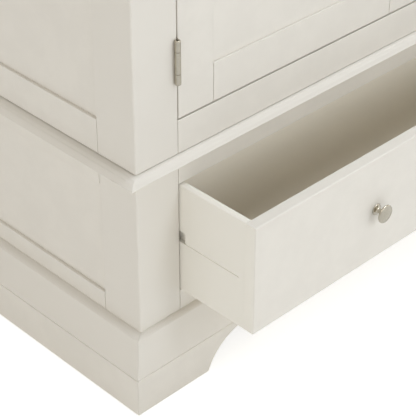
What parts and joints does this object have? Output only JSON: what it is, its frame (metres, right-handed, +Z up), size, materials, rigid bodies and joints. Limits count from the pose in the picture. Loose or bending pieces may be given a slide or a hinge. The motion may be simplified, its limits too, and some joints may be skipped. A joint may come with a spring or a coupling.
{
  "type": "armoire",
  "caption": "Painted armoire: framed and panelled doors over a long drawer with turned metal knobs, on a moulded bracket plinth, with a cornice.",
  "frame": {"origin": "underside of the centre foot, in the middle of the carcase's footprint on the floor", "axes": "+Z up, -Y towards the doors and the drawer, +X to the right seen from the front"},
  "size_m": [1.2186, 0.723, 1.95],
  "materials": {
    "painted_wood": "satin",
    "painted_drawer": "satin",
    "painted_inside": "matt",
    "bare_wood": "matt",
    "nickel": "satin",
    "rail_chrome": "polished",
    "catch_plastic": "matt"
  },
  "bodies": {
    "carcase": {"base_moulding_front": "painted_wood", "base_moulding_sides": "painted_wood", "ceiling_board": "painted_inside", "centre_bearer": "bare_wood", "centre_foot": "bare_wood", "cornice_front": "painted_wood", "cornice_sides": "painted_wood", "drawer_runner_left": "bare_wood", "drawer_runner_right": "bare_wood", "foot_board_front": "painted_wood", "foot_board_rear": "bare_wood", "foot_board_sides": "painted_wood", "hanging_rail": "rail_chrome", "hat_shelf": "painted_inside", "hinge_pins": "nickel", "hinge_post_leaves": "nickel", "lower_back_panel": "painted_inside", "lower_bottom_rail": "painted_wood", "lower_front_post_left": "painted_wood", "lower_front_post_right": "painted_wood", "lower_rear_posts": "painted_wood", "lower_side_bottom_rails": "painted_wood", "lower_side_panels": "painted_wood", "lower_side_top_rails": "painted_wood", "lower_top_rail": "painted_wood", "magnetic_catches": "catch_plastic", "rail_sockets": "rail_chrome", "shelf_battens": "bare_wood", "upper_back_panel": "painted_inside", "upper_bottom_rail": "painted_wood", "upper_floor": "painted_inside", "upper_front_post_left": "painted_wood", "upper_front_post_right": "painted_wood", "upper_rear_posts": "painted_wood", "upper_side_bottom_rails": "painted_wood", "upper_side_panels": "painted_wood", "upper_side_top_rails": "painted_wood", "upper_top_rail": "painted_wood", "waist_board": "painted_wood", "wall_fixing_rail": "painted_inside"},
    "left_door": {"left_door_bottom_rail": "painted_wood", "left_door_hinge_leaves": "nickel", "left_door_hinge_stile": "painted_wood", "left_door_knob": "nickel", "left_door_meeting_stile": "painted_wood", "left_door_panel": "painted_wood", "left_door_top_rail": "painted_wood"},
    "right_door": {"right_door_bottom_rail": "painted_wood", "right_door_hinge_leaves": "nickel", "right_door_hinge_stile": "painted_wood", "right_door_knob": "nickel", "right_door_meeting_stile": "painted_wood", "right_door_panel": "painted_wood", "right_door_top_rail": "painted_wood"},
    "drawer": {"drawer_back": "painted_drawer", "drawer_bottom": "painted_inside", "drawer_front": "painted_drawer", "drawer_knobs": "nickel", "drawer_side_left": "painted_drawer", "drawer_side_right": "painted_drawer"}
  },
  "joints": [
    {"name": "left_door_hinge", "type": "hinge", "parent": "carcase", "child": "left_door", "pos_m": [-0.4906, -0.2845, 1.131], "axis": [0, 0, -1], "range_deg": [0, 175]},
    {"name": "right_door_hinge", "type": "hinge", "parent": "carcase", "child": "right_door", "pos_m": [0.4906, -0.2845, 1.131], "axis": [0, 0, 1], "range_deg": [0, 175]},
    {"name": "drawer_slide", "type": "slide", "parent": "carcase", "child": "drawer", "axis": [0, -1, 0], "range_m": [-0.142, 0.138]}
  ]
}
